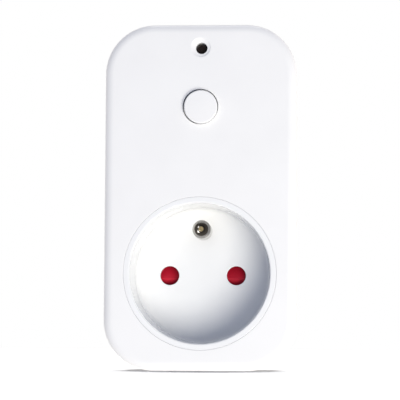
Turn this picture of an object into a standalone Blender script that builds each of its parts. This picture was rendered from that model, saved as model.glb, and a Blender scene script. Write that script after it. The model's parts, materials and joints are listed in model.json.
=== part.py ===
"""A plug-in power meter: a white adapter with a wall plug behind and a round earthed outlet in front.

The model is drawn as a front view, with X to the right, Y up and Z out of the wall towards the user, and
its origin at the centre of the plug's face. The assembly empty then stands it upright, so that in the
finished model the plug points along +Y, the front faces -Y and +Z is up.
"""

from math import cos, pi, radians, sin

import bmesh
import bpy
from mathutils import Vector

MM = 0.001
GAP = 0.3 * MM

# The case, seen from the front. The outlet's axis is X = Y = 0.
CASE_HALF_WIDTH = 26.7 * MM
CASE_BOTTOM = -26.9 * MM
CASE_TOP = 69.6 * MM
CORNER_RADIUS = 13.9 * MM
EDGE_ROUND = 2.4 * MM
WALL = 2.0 * MM
TONGUE_INSET = 1.3 * MM
TONGUE_HEIGHT = 2.0 * MM

# Depths, measured from the plug's face towards the user.
PLUG_FACE = 0.0
CASE_BACK = 17.0 * MM
CASE_SPLIT = 28.0 * MM
RECESS_FLOOR = 40.0 * MM
CASE_FRONT = 57.0 * MM
FRONT_INSIDE = CASE_FRONT - WALL

# The outlet: a round recess with two live holes and an earth pin above them.
SEAM_RADIUS = 21.2 * MM
INSERT_RADIUS = 20.9 * MM
MOUTH_RADIUS = 19.5 * MM
FLOOR_RADIUS = 19.2 * MM
FLOOR_FILLET = 1.2 * MM
FLOOR_BACK = RECESS_FLOOR - 2.0 * MM
FLANGE_RADIUS = 22.6 * MM
FLANGE_THICKNESS = 1.2 * MM
LIVE_OFFSET = 9.5 * MM
LIVE_HOLE_RADIUS = 2.7 * MM
PIN_RADIUS = 2.4 * MM
EARTH_HEIGHT = 12.7 * MM
EARTH_PIN_LENGTH = 10.0 * MM
EARTH_PIN_RADIUS = 2.6 * MM

# The plug boss behind the case.
BOSS_RADIUS = 18.5 * MM
BOSS_INSIDE = 15.9 * MM
BOSS_FACE_WALL = 2.2 * MM
PLUG_PIN_LENGTH = 19.0 * MM
NOTCH_DEPTH = 1.4 * MM
EARTH_HOLE_RADIUS = 3.2 * MM

# The earth bracket, whose legs lie in grooves at the top and bottom of the boss.
EARTH_STRIP_Y = 18.05 * MM
EARTH_STRIP_WIDTH = 6.0 * MM
EARTH_STRIP_THICKNESS = 0.8 * MM
EARTH_STRIP_TIP = 1.6 * MM

# The button and the status light, whose hole widens into a shallow dish at the face.
BUTTON_HEIGHT = 46.33 * MM
BUTTON_RADIUS = 4.6 * MM
BUTTON_PROUD = 1.8 * MM
BUTTON_TRAVEL = 0.5 * MM
BUTTON_FLANGE_RADIUS = 6.0 * MM
PLUNGER_TOP = 51.3 * MM
LIGHT_HEIGHT = 63.0 * MM
LIGHT_DISH_RADIUS = 2.75 * MM
LIGHT_DISH_DEPTH = 0.5 * MM
LIGHT_HOLE_RADIUS = 1.7 * MM
LIGHT_TUBE_END = CASE_FRONT - 4.3 * MM
LENS_NOSE_RADIUS = LIGHT_HOLE_RADIUS - 0.3 * MM
LENS_NOSE_FRONT = CASE_FRONT - 1.8 * MM

# The circuit board, which stands behind the button with most of its components on the back.
BOARD_BACK = 44.4 * MM
BOARD_FRONT = 46.0 * MM
BOARD_HALF_WIDTH = 22.6 * MM
BOARD_BOTTOM = 24.6 * MM
BOARD_TOP = 66.2 * MM
REAR_SEAT = BOARD_BACK - GAP
FRONT_SEAT = BOARD_FRONT + GAP

# Fastenings, as (x, y), and the posts and sleeves that take them.
CASE_SCREWS = [(x * MM, y * MM) for y in (61.2, -18.8) for x in (18.4, -18.4)]
BOARD_SCREWS = [(x * MM, 28.0 * MM) for x in (19.5, -19.5)]
CASE_POST_RADIUS = 3.0 * MM
BOARD_POST_RADIUS = 2.5 * MM
SCREW_SLEEVE_RADIUS = 4.4 * MM
SCREW_HEAD_RADIUS = 2.7 * MM
SCREW_HEAD_FRONT = 25.5 * MM
COUNTERBORE_RADIUS = 3.1 * MM

# The shutter slides down by its travel when a plug's pins push on its sloping face. The spring under it
# stands on a ledge that leaves the coils room when they are pressed together.
SHUTTER_TRAVEL = 6.0 * MM
SHUTTER_BOTTOM = -8.5 * MM
PRESSED_SPRING_LENGTH = 3.5 * MM
SPRING_SEAT = SHUTTER_BOTTOM - SHUTTER_TRAVEL - PRESSED_SPRING_LENGTH

# The moulding behind the outlet. Its live contacts stand low enough for the earth pin to meet a plug first.
CARRIER_BACK = 24.0 * MM
CARRIER_FRONT = 34.1 * MM
CARRIER_RADIUS = 20.4 * MM
RAIL_FRONT = FLOOR_BACK - GAP
CONTACT_TOP = 30.5 * MM

for old in list(bpy.data.objects):
    bpy.data.objects.remove(old, do_unlink=True)

PARTS = bpy.data.collections.new("plug_in_power_meter")
CUTTERS = bpy.data.collections.new("cutters")
for group in (PARTS, CUTTERS):
    bpy.context.scene.collection.children.link(group)

assembly = bpy.data.objects.new("assembly", None)
assembly.rotation_euler = (radians(90), 0, 0)
PARTS.objects.link(assembly)


# ---------------------------------------------------------------------------------------- materials

def material(name, colour, roughness, metallic=0.0):
    """A Principled material in one colour."""
    made = bpy.data.materials.new(name)
    made.use_nodes = True
    shader = made.node_tree.nodes["Principled BSDF"]
    shader.inputs["Base Color"].default_value = (*colour, 1.0)
    shader.inputs["Roughness"].default_value = roughness
    shader.inputs["Metallic"].default_value = metallic
    made.diffuse_color = (*colour, 1.0)
    return made


CASE_WHITE = material("case_white", (0.87, 0.88, 0.90), 0.35)
OUTLET_WHITE = material("outlet_white", (0.89, 0.90, 0.92), 0.15)
INNER_WHITE = material("inner_white", (0.78, 0.78, 0.76), 0.5)
SHUTTER_RED = material("shutter_red", (0.62, 0.02, 0.05), 0.35)
NICKEL = material("nickel", (0.62, 0.60, 0.57), 0.18, 1.0)
BRASS = material("brass", (0.72, 0.53, 0.26), 0.3, 1.0)
STEEL = material("zinc_steel", (0.60, 0.61, 0.63), 0.35, 1.0)
SPRING_STEEL = material("spring_steel", (0.50, 0.50, 0.52), 0.25, 1.0)
SMOKED = material("smoked_lens", (0.02, 0.015, 0.015), 0.2)
BLACK = material("black_plastic", (0.03, 0.03, 0.035), 0.5)
BOARD_GREEN = material("board_green", (0.03, 0.20, 0.09), 0.45)
CAPACITOR_YELLOW = material("capacitor_yellow", (0.80, 0.60, 0.10), 0.4)
CAPACITOR_BLACK = material("capacitor_sleeve", (0.04, 0.05, 0.09), 0.3)
RELAY_BLUE = material("relay_blue", (0.05, 0.16, 0.45), 0.4)
VARISTOR_BLUE = material("varistor_blue", (0.06, 0.20, 0.50), 0.5)
MANGANIN = material("manganin", (0.55, 0.40, 0.28), 0.35, 1.0)
WIRE_BROWN = material("wire_brown", (0.22, 0.09, 0.04), 0.45)
WIRE_BLUE = material("wire_blue", (0.03, 0.14, 0.50), 0.45)
WIRE_BLACK = material("wire_black", (0.02, 0.02, 0.02), 0.45)
LED_CLEAR = material("led_body", (0.85, 0.84, 0.70), 0.3)


# ------------------------------------------------------------------------------------ building blocks

def place(obj, group, location=(0, 0, 0)):
    """Puts an object in a collection, under the assembly."""
    group.objects.link(obj)
    obj.parent = assembly
    obj.location = location
    if group is CUTTERS:
        obj.hide_render = True
        obj.display_type = "WIRE"
    return obj


def mesh_object(name, bm, group=CUTTERS, location=(0, 0, 0)):
    """Turns a bmesh into an object."""
    mesh = bpy.data.meshes.new(name)
    bm.to_mesh(mesh)
    bm.free()
    return place(bpy.data.objects.new(name, mesh), group, location)


def finish(obj, name, look):
    """Makes a piece one of the named parts, with its own material."""
    obj.name = name
    obj.data.name = name
    for group in list(obj.users_collection):
        group.objects.unlink(obj)
    PARTS.objects.link(obj)
    obj.hide_render = False
    obj.display_type = "TEXTURED"
    obj.data.materials.clear()
    obj.data.materials.append(look)
    if obj.type == "MESH":
        obj.data.shade_smooth()
        obj.data.set_sharp_from_angle(angle=radians(30))
    return obj


def block(x_range, y_range, z_range):
    """A box between three pairs of coordinates, with its origin at its centre."""
    size = [high - low for low, high in (x_range, y_range, z_range)]
    centre = [(high + low) / 2 for low, high in (x_range, y_range, z_range)]
    bm = bmesh.new()
    bmesh.ops.create_cube(bm, size=1.0)
    bmesh.ops.scale(bm, vec=size, verts=bm.verts)
    return mesh_object("block", bm, location=centre)


def rod(radius, z_range, centre=(0, 0), sides=24, top_radius=None):
    """A cylinder along Z, or a cone when its top radius differs."""
    low, high = z_range
    bm = bmesh.new()
    bmesh.ops.create_cone(
        bm,
        cap_ends=True,
        segments=sides,
        radius1=radius,
        radius2=radius if top_radius is None else top_radius,
        depth=high - low,
    )
    return mesh_object("rod", bm, location=(centre[0], centre[1], (low + high) / 2))


def turned(profile, steps=32, location=(0, 0, 0), closed=False):
    """A solid of revolution; its profile of (radius, height) runs down the outer side."""
    bm = bmesh.new()
    points = [bm.verts.new((radius, 0, height)) for radius, height in profile]
    for start, end in zip(points, points[1:]):
        bm.edges.new((start, end))
    if closed:
        bm.edges.new((points[-1], points[0]))
    obj = mesh_object("turned", bm, location=location)
    screw = obj.modifiers.new("turn", "SCREW")
    screw.steps = steps
    screw.render_steps = steps
    screw.use_merge_vertices = True
    screw.merge_threshold = 0.00001
    return obj


def arc(centre, radius, start, end, count):
    """Points along an arc, with angles in degrees."""
    angles = [radians(start + (end - start) * step / count) for step in range(count + 1)]
    return [(centre[0] + radius * cos(a), centre[1] + radius * sin(a)) for a in angles]


def rounded_rectangle(half_width, bottom, top, radius, bottom_radius=None, count=7):
    """Outline of a rectangle with round corners, anticlockwise from the right."""
    low = radius if bottom_radius is None else bottom_radius
    points = arc((half_width - radius, top - radius), radius, 0, 90, count)
    points += arc((radius - half_width, top - radius), radius, 90, 180, count)
    points += arc((low - half_width, bottom + low), low, 180, 270, count)
    points += arc((half_width - low, bottom + low), low, 270, 360, count)
    return points


def case_outline(inset=0.0):
    """The case's outline, moved inwards."""
    return rounded_rectangle(
        CASE_HALF_WIDTH - inset, CASE_BOTTOM + inset, CASE_TOP - inset, CORNER_RADIUS - inset
    )


def plate(outline, z_range, hole=None):
    """A flat outline given a thickness; the filled curve is made a mesh so that it can be cut."""
    low, high = z_range
    curve = bpy.data.curves.new("plate", "CURVE")
    curve.dimensions = "2D"
    curve.fill_mode = "BOTH"
    curve.extrude = (high - low) / 2
    for ring in [outline] + ([hole] if hole else []):
        spline = curve.splines.new("POLY")
        spline.points.add(len(ring) - 1)
        spline.use_cyclic_u = True
        for point, (x, y) in zip(spline.points, ring):
            point.co = (x, y, 0, 1)
    outline_object = place(bpy.data.objects.new("plate_outline", curve), CUTTERS)
    graph = bpy.context.evaluated_depsgraph_get()
    mesh = bpy.data.meshes.new_from_object(outline_object.evaluated_get(graph))
    bpy.data.objects.remove(outline_object)
    bm = bmesh.new()
    bm.from_mesh(mesh)
    bpy.data.meshes.remove(mesh)
    bmesh.ops.remove_doubles(bm, verts=bm.verts, dist=0.000001)
    bmesh.ops.recalc_face_normals(bm, faces=bm.faces)
    return mesh_object("plate", bm, location=(0, 0, (low + high) / 2))


def strip(path, width, thickness, centre_x=0.0):
    """Sheet metal bent along a path of (y, z), with its width along X."""
    bm = bmesh.new()
    sides = [
        [bm.verts.new((side * width / 2, y, z)) for y, z in path]
        for side in (-1, 1)
    ]
    left, right = sides
    for index in range(len(path) - 1):
        bm.faces.new((left[index], right[index], right[index + 1], left[index + 1]))
    obj = mesh_object("strip", bm, location=(centre_x, 0, 0))
    sheet = obj.modifiers.new("sheet", "SOLIDIFY")
    sheet.thickness = thickness
    sheet.offset = 0
    sheet.use_even_offset = True
    return obj


def sleeve(centre, inner, outer, z_range, slit_angle, slit_width=50):
    """A spring contact rolled from sheet, open along one side."""
    start = slit_angle + slit_width / 2
    end = slit_angle + 360 - slit_width / 2
    outline = arc(centre, outer, start, end, 14) + arc(centre, inner, end, start, 14)
    return plate(outline, z_range)


def soften(obj, width, segments=2, angle=40):
    """Rounds a piece's edges."""
    bevel = obj.modifiers.new("soft_edges", "BEVEL")
    bevel.width = width
    bevel.segments = segments
    bevel.limit_method = "ANGLE"
    bevel.angle_limit = radians(angle)
    return obj


def combine(target, operation, pieces):
    """Adds a Boolean modifier for each piece."""
    for piece in pieces:
        change = target.modifiers.new(operation.lower(), "BOOLEAN")
        change.operation = operation
        change.solver = "EXACT"
        change.object = piece
    return target


def join(target, *pieces):
    return combine(target, "UNION", pieces)


def cut(target, *pieces):
    return combine(target, "DIFFERENCE", pieces)


def smooth_route(route, spacing):
    """Points along one smooth curve through a route's own points."""
    knots = [Vector(point) * MM for point in route]
    padded = [2 * knots[0] - knots[1]] + knots + [2 * knots[-1] - knots[-2]]
    points = [knots[0]]
    for before, start, end, after in zip(padded, padded[1:], padded[2:], padded[3:]):
        pieces = max(1, round((end - start).length / spacing))
        for step in range(1, pieces + 1):
            t = step / pieces
            points.append(
                0.5 * (
                    2 * start
                    + (end - before) * t
                    + (2 * before - 5 * start + 4 * end - after) * t ** 2
                    + (3 * start - before - 3 * end + after) * t ** 3
                )
            )
    return points


def tube(name, points, radius, look):
    """A round wire through the points, with closed ends."""
    curve = bpy.data.curves.new(name, "CURVE")
    curve.dimensions = "3D"
    curve.bevel_depth = radius
    curve.bevel_resolution = 2
    curve.use_fill_caps = True
    spline = curve.splines.new("POLY")
    spline.points.add(len(points) - 1)
    for target, point in zip(spline.points, points):
        target.co = (*point, 1)
    obj = place(bpy.data.objects.new(name, curve), PARTS)
    curve.materials.append(look)
    return obj


# ------------------------------------------------------------------------------------------- the case

def case_half(closed_z, open_z):
    """Half of the case: an open surface with a rounded outer edge, thickened inwards."""
    bm = bmesh.new()
    weights = bm.edges.layers.float.new("bevel_weight_edge")
    face = bm.faces.new([bm.verts.new((x, y, closed_z)) for x, y in case_outline()])
    for edge in face.edges:
        edge[weights] = 1.0
    walls = bmesh.ops.extrude_edge_only(bm, edges=list(face.edges))
    for item in walls["geom"]:
        if isinstance(item, bmesh.types.BMVert):
            item.co.z = open_z
        elif isinstance(item, bmesh.types.BMEdge):
            item[weights] = 0.0
    bmesh.ops.recalc_face_normals(bm, faces=bm.faces)
    obj = mesh_object("case_half", bm)
    bevel = obj.modifiers.new("round_edge", "BEVEL")
    bevel.width = EDGE_ROUND
    bevel.segments = 3
    bevel.limit_method = "WEIGHT"
    shell = obj.modifiers.new("wall", "SOLIDIFY")
    shell.thickness = WALL
    shell.offset = -1
    shell.use_even_offset = True
    return obj


def build_front_cover():
    """The front half of the case, with the outlet's opening, the button's hole and the light's dish."""
    cover = case_half(CASE_FRONT, CASE_SPLIT)
    inside = FRONT_INSIDE + 0.5 * MM
    beyond = CASE_FRONT + 1 * MM
    behind = 50 * MM
    button_at = (0, BUTTON_HEIGHT)
    light_at = (0, LIGHT_HEIGHT)

    join(cover, *[rod(CASE_POST_RADIUS, (CASE_SPLIT + 2 * GAP, inside), at, 16) for at in CASE_SCREWS])
    join(cover, *[rod(BOARD_POST_RADIUS, (FRONT_SEAT, inside), at, 10) for at in BOARD_SCREWS])
    collar_inside = BUTTON_FLANGE_RADIUS + 0.4 * MM
    collar_wall = 1.2 * MM
    join(cover, rod(collar_inside + collar_wall, (51.5 * MM, inside), button_at, 24))
    cut(cover, rod(collar_inside, (behind, FRONT_INSIDE), button_at, 24))
    join(cover, rod(LIGHT_HOLE_RADIUS + 1.3 * MM, (LIGHT_TUBE_END, inside), light_at, 16))

    cut(cover, rod(SEAM_RADIUS, (behind, beyond), sides=56))
    cut(cover, rod(BUTTON_RADIUS + GAP, (behind, beyond), button_at, 28))
    cut(cover, rod(LIGHT_HOLE_RADIUS, (behind, beyond), light_at, 20))
    # The dish is a cone that has the hole's radius one depth below the face.
    flare = (LIGHT_DISH_RADIUS - LIGHT_HOLE_RADIUS) / 2
    dish_z = (CASE_FRONT - 1.5 * LIGHT_DISH_DEPTH, CASE_FRONT + 0.5 * LIGHT_DISH_DEPTH)
    cut(cover, rod(LIGHT_HOLE_RADIUS - flare, dish_z, light_at, 20, LIGHT_DISH_RADIUS + flare))

    cut(cover, *[rod(1.55 * MM, (20 * MM, 38 * MM), at, 10) for at in CASE_SCREWS])
    cut(cover, *[rod(1.3 * MM, (40 * MM, 52 * MM), at, 10) for at in BOARD_SCREWS])
    rebate_z = (20 * MM, CASE_SPLIT + TONGUE_HEIGHT + GAP)
    cut(cover, plate(case_outline(TONGUE_INSET - GAP), rebate_z, case_outline(WALL + 0.6 * MM)))
    finish(cover, "front_cover", CASE_WHITE)


def build_rear_cover():
    """The back shell, the round boss of the plug on it, and the sleeves that its screws sit in."""
    cover = case_half(CASE_BACK, CASE_SPLIT - GAP)
    tongue_z = (CASE_SPLIT - 1.5 * MM, CASE_SPLIT + TONGUE_HEIGHT)
    join(cover, plate(case_outline(TONGUE_INSET), tongue_z, case_outline(WALL + 0.5 * MM)))
    boss_root = CASE_BACK + 1 * MM
    boss = turned(
        [
            (0, boss_root),
            (BOSS_RADIUS, boss_root),
            (BOSS_RADIUS, 1.0 * MM),
            (BOSS_RADIUS - 0.3 * MM, 0.3 * MM),
            (BOSS_RADIUS - 1.0 * MM, PLUG_FACE),
            (0, PLUG_FACE),
        ],
        44,
    )
    join(cover, boss)
    sleeve_z = (CASE_BACK + 0.6 * MM, CASE_SPLIT + GAP)
    join(cover, *[rod(SCREW_SLEEVE_RADIUS, sleeve_z, at, 18) for at in CASE_SCREWS])
    cut(cover, rod(BOSS_INSIDE, (BOSS_FACE_WALL, 25 * MM), sides=36))

    earth_at = (0, EARTH_HEIGHT)
    join(cover, rod(4.2 * MM, (1.5 * MM, 4.3 * MM), earth_at, 16))
    join(cover, rod(2.8 * MM, (1.5 * MM, 4.5 * MM), sides=14))
    pins = [(side * LIVE_OFFSET, 0) for side in (-1, 1)]
    cut(cover, *[rod(PIN_RADIUS + GAP, (-1 * MM, 4 * MM), at, 20) for at in pins])
    cut(cover, rod(EARTH_HOLE_RADIUS, (-1 * MM, 6 * MM), earth_at, 20))
    cut(cover, rod(1.5 * MM, (1.6 * MM, 6 * MM), sides=10))

    outside = BOSS_RADIUS + 2.5 * MM
    notch_floor = BOSS_RADIUS - NOTCH_DEPTH
    groove_floor = EARTH_STRIP_Y - EARTH_STRIP_THICKNESS / 2 - GAP
    groove_x = (-EARTH_STRIP_WIDTH / 2 - GAP, EARTH_STRIP_WIDTH / 2 + GAP)
    groove_z = (EARTH_STRIP_TIP - GAP, 16.1 * MM)
    window_z = (14.7 * MM, 16.1 * MM)
    for side in (-1, 1):
        notch_x = sorted((side * notch_floor, side * outside))
        cut(cover, block(notch_x, (-3 * MM, 3 * MM), (-1 * MM, CASE_BACK - 0.1 * MM)))
        cut(cover, block(groove_x, sorted((side * groove_floor, side * outside)), groove_z))
        cut(cover, block(groove_x, sorted((side * 14 * MM, side * 19 * MM)), window_z))

    counterbore_z = (10 * MM, SCREW_HEAD_FRONT + GAP)
    cut(cover, *[rod(COUNTERBORE_RADIUS, counterbore_z, at, 18) for at in CASE_SCREWS])
    cut(cover, *[rod(1.7 * MM, (20 * MM, 35 * MM), at, 12) for at in CASE_SCREWS])
    finish(cover, "rear_cover", CASE_WHITE)


def build_case_screws():
    """Pan-head screws, driven from the back into the front cover's posts."""
    head = SCREW_HEAD_FRONT
    shank = 1.25 * MM
    profile = [
        (0, head + 10.5 * MM),
        (0.6 * MM, head + 10.5 * MM),
        (shank, head + 9.2 * MM),
        (shank, head),
        (SCREW_HEAD_RADIUS, head),
        (SCREW_HEAD_RADIUS, head - 1.2 * MM),
        (SCREW_HEAD_RADIUS - 0.5 * MM, head - 2.0 * MM),
        (0, head - 2.2 * MM),
    ]
    slot_z = (head - 3.5 * MM, head - 1.0 * MM)
    for number, (x, y) in enumerate(CASE_SCREWS, 1):
        screw = turned(profile, 16, (x, y, 0))
        for turn in (0, 90):
            slot = block((-1.5 * MM, 1.5 * MM), (-0.3 * MM, 0.3 * MM), slot_z)
            slot.location.x = x
            slot.location.y = y
            slot.rotation_euler.z = radians(turn)
            cut(screw, slot)
        finish(screw, f"case_screw_{number}", STEEL)


# ----------------------------------------------------------------------------------------- the outlet

def build_outlet_insert():
    """The outlet's cup, held behind the cover by its flange."""
    mouth_edge = 0.35 * MM
    seam_edge = 0.15 * MM
    flange_front = FRONT_INSIDE - GAP
    fillet = arc((FLOOR_RADIUS - FLOOR_FILLET, RECESS_FLOOR + FLOOR_FILLET), FLOOR_FILLET, 270, 360, 2)
    profile = [(0, RECESS_FLOOR)] + fillet
    profile += [
        (MOUTH_RADIUS, CASE_FRONT - mouth_edge),
        (MOUTH_RADIUS + mouth_edge, CASE_FRONT),
        (INSERT_RADIUS - seam_edge, CASE_FRONT),
        (INSERT_RADIUS, CASE_FRONT - seam_edge),
        (INSERT_RADIUS, flange_front),
        (FLANGE_RADIUS, flange_front),
        (FLANGE_RADIUS, flange_front - FLANGE_THICKNESS),
        (INSERT_RADIUS, flange_front - FLANGE_THICKNESS),
        (INSERT_RADIUS, FLOOR_BACK),
        (0, FLOOR_BACK),
    ]
    insert = turned(profile, 48)
    through = (FLOOR_BACK - 1 * MM, RECESS_FLOOR + 1 * MM)
    cut(insert, *[rod(LIVE_HOLE_RADIUS, through, (side * LIVE_OFFSET, 0), 24) for side in (-1, 1)])
    cut(insert, rod(EARTH_PIN_RADIUS + GAP, through, (0, EARTH_HEIGHT), 20))
    finish(insert, "outlet_insert", OUTLET_WHITE)


def build_earth_pin():
    """A turned pin, flanged where it sits in the carrier and riveted to the earth strap behind it."""
    tip = RECESS_FLOOR + EARTH_PIN_LENGTH
    dome = 1.9 * MM
    flange = 3.8 * MM
    flange_top = 36.6 * MM
    shank = 2.0 * MM
    shank_end = CARRIER_BACK - GAP
    rivet = 1.3 * MM
    rivet_end = 21.6 * MM
    profile = [(0, tip)]
    for angle in (25, 50, 70, 90):
        profile.append((EARTH_PIN_RADIUS * sin(radians(angle)), tip - dome * (1 - cos(radians(angle)))))
    profile += [
        (EARTH_PIN_RADIUS, flange_top),
        (flange, flange_top),
        (flange, CARRIER_FRONT + GAP),
        (shank, CARRIER_FRONT + GAP),
        (shank, shank_end),
        (rivet, shank_end),
        (rivet, rivet_end),
        (0, rivet_end),
    ]
    finish(turned(profile, 20, (0, EARTH_HEIGHT, 0)), "earth_pin", NICKEL)


def build_shutter():
    """One red slide behind both live holes; its ridge stands just below their centres."""
    half_width = 13.9 * MM
    top = 3.3 * MM
    back = CARRIER_FRONT + GAP
    ridge = FLOOR_BACK - 0.4 * MM
    foot = back + 1.1 * MM
    section = [
        (SHUTTER_BOTTOM, back),
        (SHUTTER_BOTTOM, foot),
        (-5.0 * MM, foot),
        (-0.9 * MM, ridge),
        (-0.7 * MM, ridge),
        (top, back + 0.8 * MM),
        (top, back),
    ]
    bm = bmesh.new()
    ends = [[bm.verts.new((side * half_width, y, z)) for y, z in section] for side in (-1, 1)]
    bm.faces.new(ends[0])
    bm.faces.new(ends[1])
    bmesh.ops.bridge_loops(bm, edges=[edge for face in bm.faces for edge in face.edges])
    bmesh.ops.recalc_face_normals(bm, faces=bm.faces)
    finish(mesh_object("shutter", bm), "shutter", SHUTTER_RED)


def build_shutter_spring():
    """A compression spring between the shutter and the carrier's ledge."""
    turns = 4
    steps = 8
    coil_radius = 1.3 * MM
    wire_radius = 0.2 * MM
    depth = 36.0 * MM
    low = SPRING_SEAT + GAP + wire_radius
    high = SHUTTER_BOTTOM - GAP - wire_radius
    points = []
    for step in range(turns * steps + 1):
        angle = 2 * pi * step / steps
        y = low + (high - low) * step / (turns * steps)
        points.append((coil_radius * cos(angle), y, depth + coil_radius * sin(angle)))
    tube("shutter_spring", points, wire_radius, SPRING_STEEL)


def build_contact_carrier():
    """The moulding behind the outlet: it guides the shutter and holds the contacts."""
    carrier = rod(CARRIER_RADIUS, (CARRIER_BACK, CARRIER_FRONT), sides=40)
    overlap = CARRIER_FRONT - 1 * MM
    for side in (-1, 1):
        rail = sorted((side * 14.2 * MM, side * 17.0 * MM))
        join(carrier, block(rail, (-9.0 * MM, 8.0 * MM), (overlap, RAIL_FRONT)))
    join(carrier, block((-4 * MM, 4 * MM), (-19.7 * MM, SPRING_SEAT), (overlap, RAIL_FRONT)))
    join(carrier, block((-5 * MM, 5 * MM), (3.6 * MM, 5.2 * MM), (overlap, 36.4 * MM)))
    for side in (-1, 1):
        x = side * LIVE_OFFSET
        cut(carrier, block((x - 3.7 * MM, x + 3.7 * MM), (-4.5 * MM, 4.5 * MM), (20 * MM, 35 * MM)))
    cut(carrier, rod(2.3 * MM, (20 * MM, 35 * MM), (0, EARTH_HEIGHT), 20))
    finish(carrier, "contact_carrier", INNER_WHITE)


def build_contacts():
    """Spring contacts in the carrier, and the strips that lead from them and from the plug's pins."""
    leg_y = -3.65 * MM
    foot_z = 12.4 * MM
    for name, side, slit in (("neutral_contact", -1, 180), ("live_contact", 1, 0)):
        centre = (side * LIVE_OFFSET, 0)
        contact_z = (CARRIER_BACK + GAP, CONTACT_TOP)
        finish(sleeve(centre, 2.3 * MM, 2.9 * MM, contact_z, slit), name, BRASS)
    strips = (
        ("neutral_busbar", -1, [(2.6 * MM, foot_z), (leg_y, foot_z), (leg_y, 30 * MM)]),
        ("live_pin_terminal", 1, [(2.6 * MM, foot_z), (leg_y, foot_z), (leg_y, 18 * MM)]),
        ("live_contact_terminal", 1, [(-9.4 * MM, 23 * MM), (leg_y, 23 * MM), (leg_y, 30 * MM)]),
    )
    for name, side, path in strips:
        bar = strip(path, 5.4 * MM, 0.8 * MM, side * LIVE_OFFSET)
        if path[0][1] == foot_z:
            cut(bar, rod(1.6 * MM, (10 * MM, 15 * MM), (side * LIVE_OFFSET, 0), 16))
        finish(bar, name, BRASS)


# ------------------------------------------------------------------------------------------- the plug

def build_plug_pins():
    """Round pins with a shoulder inside the boss, riveted through the strips behind them."""
    rivet = 1.3 * MM
    rivet_end = 13.9 * MM
    shank_end = 11.7 * MM
    shoulder = 4.0 * MM
    shoulder_z = (4.5 * MM, BOSS_FACE_WALL + GAP)
    nose = 1.6 * MM
    tip_radius = 0.85 * MM
    profile = [(0, rivet_end), (rivet, rivet_end), (rivet, shank_end), (PIN_RADIUS, shank_end)]
    profile += [(PIN_RADIUS, shoulder_z[0]), (shoulder, shoulder_z[0])]
    profile += [(shoulder, shoulder_z[1]), (PIN_RADIUS, shoulder_z[1])]
    for angle in (0, 30, 60, 90):
        radius = tip_radius + (PIN_RADIUS - tip_radius) * cos(radians(angle))
        profile.append((radius, nose * (1 - sin(radians(angle))) - PLUG_PIN_LENGTH))
    profile.append((0, -PLUG_PIN_LENGTH))
    for name, side in (("plug_pin_neutral", -1), ("plug_pin_live", 1)):
        finish(turned(profile, 18, (side * LIVE_OFFSET, 0, 0)), name, NICKEL)


def build_pin_holder():
    """The plate that clamps both pins' shoulders inside the boss, and its screw."""
    outline = rounded_rectangle(14.4 * MM, -5.8 * MM, 5.8 * MM, 2.5 * MM, count=3)
    holder = plate(outline, (4.8 * MM, 9.5 * MM))
    cut(holder, *[rod(PIN_RADIUS + GAP, (0, 12 * MM), (side * LIVE_OFFSET, 0), 16) for side in (-1, 1)])
    cut(holder, rod(1.6 * MM, (0, 12 * MM), sides=12))
    finish(holder, "pin_holder", BLACK)
    head = 9.8 * MM
    profile = [
        (0, head + 1.5 * MM),
        (1.6 * MM, head + 1.3 * MM),
        (2.3 * MM, head + 0.7 * MM),
        (2.3 * MM, head),
        (1.2 * MM, head),
        (1.2 * MM, 2.6 * MM),
        (0.6 * MM, 2.0 * MM),
        (0, 2.0 * MM),
    ]
    finish(turned(profile, 12), "pin_holder_screw", STEEL)


def build_earthing():
    """The bracket whose ends are the plug's side contacts, the socket contact and the strap between."""
    bar_z = 15.4 * MM
    path = [
        (-EARTH_STRIP_Y, EARTH_STRIP_TIP),
        (-EARTH_STRIP_Y, bar_z),
        (EARTH_STRIP_Y, bar_z),
        (EARTH_STRIP_Y, EARTH_STRIP_TIP),
    ]
    finish(strip(path, EARTH_STRIP_WIDTH, EARTH_STRIP_THICKNESS), "earth_bracket", NICKEL)
    centre = (0, EARTH_HEIGHT)
    finish(sleeve(centre, 2.2 * MM, 2.7 * MM, (4.6 * MM, 14.7 * MM), 270), "earth_socket_contact", BRASS)
    path = [(15.6 * MM, 23.0 * MM), (8.0 * MM, 23.0 * MM), (8.0 * MM, 16.5 * MM), (2.0 * MM, 16.5 * MM)]
    strap = strip(path, EARTH_STRIP_WIDTH, EARTH_STRIP_THICKNESS)
    cut(strap, rod(1.6 * MM, (21 * MM, 25 * MM), centre, 16))
    finish(strap, "earth_strap", BRASS)


# ---------------------------------------------------------------------------- the button and the light

def build_button():
    """A round cap with a flange that keeps it behind the cover and a stem that meets the switch."""
    top = CASE_FRONT + BUTTON_PROUD
    edge = 0.45 * MM
    flange_front = FRONT_INSIDE - GAP
    flange_back = flange_front - 1.2 * MM
    stem = 1.9 * MM
    stem_end = PLUNGER_TOP + GAP
    profile = [(0, top)]
    profile += arc((BUTTON_RADIUS - edge, top - edge), edge, 90, 0, 2)
    profile += [
        (BUTTON_RADIUS, flange_front),
        (BUTTON_FLANGE_RADIUS, flange_front),
        (BUTTON_FLANGE_RADIUS, flange_back),
        (stem, flange_back),
        (stem, stem_end),
        (0, stem_end),
    ]
    finish(turned(profile, 28, (0, BUTTON_HEIGHT, 0)), "power_button", CASE_WHITE)


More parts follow.
